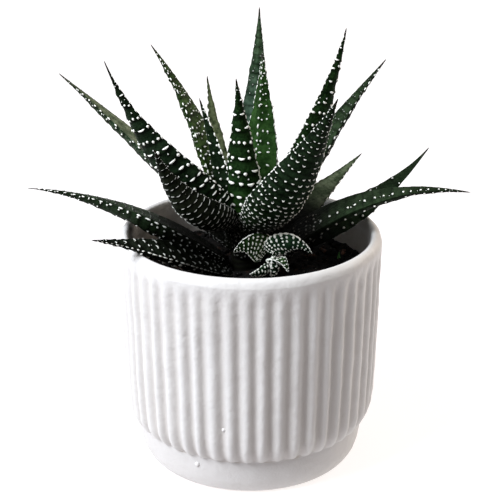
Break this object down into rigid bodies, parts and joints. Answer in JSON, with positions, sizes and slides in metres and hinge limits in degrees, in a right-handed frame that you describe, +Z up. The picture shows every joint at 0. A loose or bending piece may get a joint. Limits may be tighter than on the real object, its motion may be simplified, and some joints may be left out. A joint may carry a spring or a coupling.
{
  "type": "potted haworthia",
  "caption": "Small rosette succulent with pointed dark leaves banded in white tubercles, in a round ribbed white glazed pot with a plain foot.",
  "frame": {"origin": "middle of the pot's flat underside", "axes": "+Z up along the pot's axis, -Y towards the side that faces the viewer, where the pup grows"},
  "size_m": [0.159, 0.1073, 0.161],
  "materials": {
    "glaze": "satin white glaze, slightly uneven",
    "soil": "dark crumbly potting soil",
    "stem": "fleshy plant stem",
    "leaf": "fleshy dark green leaf with white tubercles",
    "pup_leaf": "fleshy young leaf, densely dotted white",
    "sprout": "fresh green shoot",
    "bark": "rough reddish brown bark"
  },
  "bodies": {
    "root": {"pot": "glaze", "soil": "soil", "main_stem": "stem", "pup_stem": "stem", "leaf_centre_front": "leaf", "leaf_centre_left": "leaf", "leaf_tall_front": "leaf", "leaf_tall": "leaf", "leaf_back_left": "leaf", "leaf_back_slim": "leaf", "leaf_right_up": "leaf", "leaf_left_broad": "leaf", "leaf_right_broad": "leaf", "leaf_right_behind": "leaf", "leaf_front_left": "leaf", "leaf_left_up": "leaf", "leaf_back_up": "leaf", "leaf_right_smooth": "leaf", "leaf_right_curved": "leaf", "leaf_back_left_low": "leaf", "leaf_right_long": "leaf", "leaf_left_long": "leaf", "leaf_back_low": "leaf", "leaf_back_right_low": "leaf", "leaf_left_low": "leaf", "pup_leaf_front": "pup_leaf", "pup_leaf_right": "pup_leaf", "pup_leaf_left": "pup_leaf", "pup_leaf_low_right": "pup_leaf", "pup_leaf_low_left": "pup_leaf", "sprout": "sprout", "bark_1": "bark", "bark_2": "bark", "bark_3": "bark", "bark_4": "bark", "bark_5": "bark"}
  },
  "joints": []
}
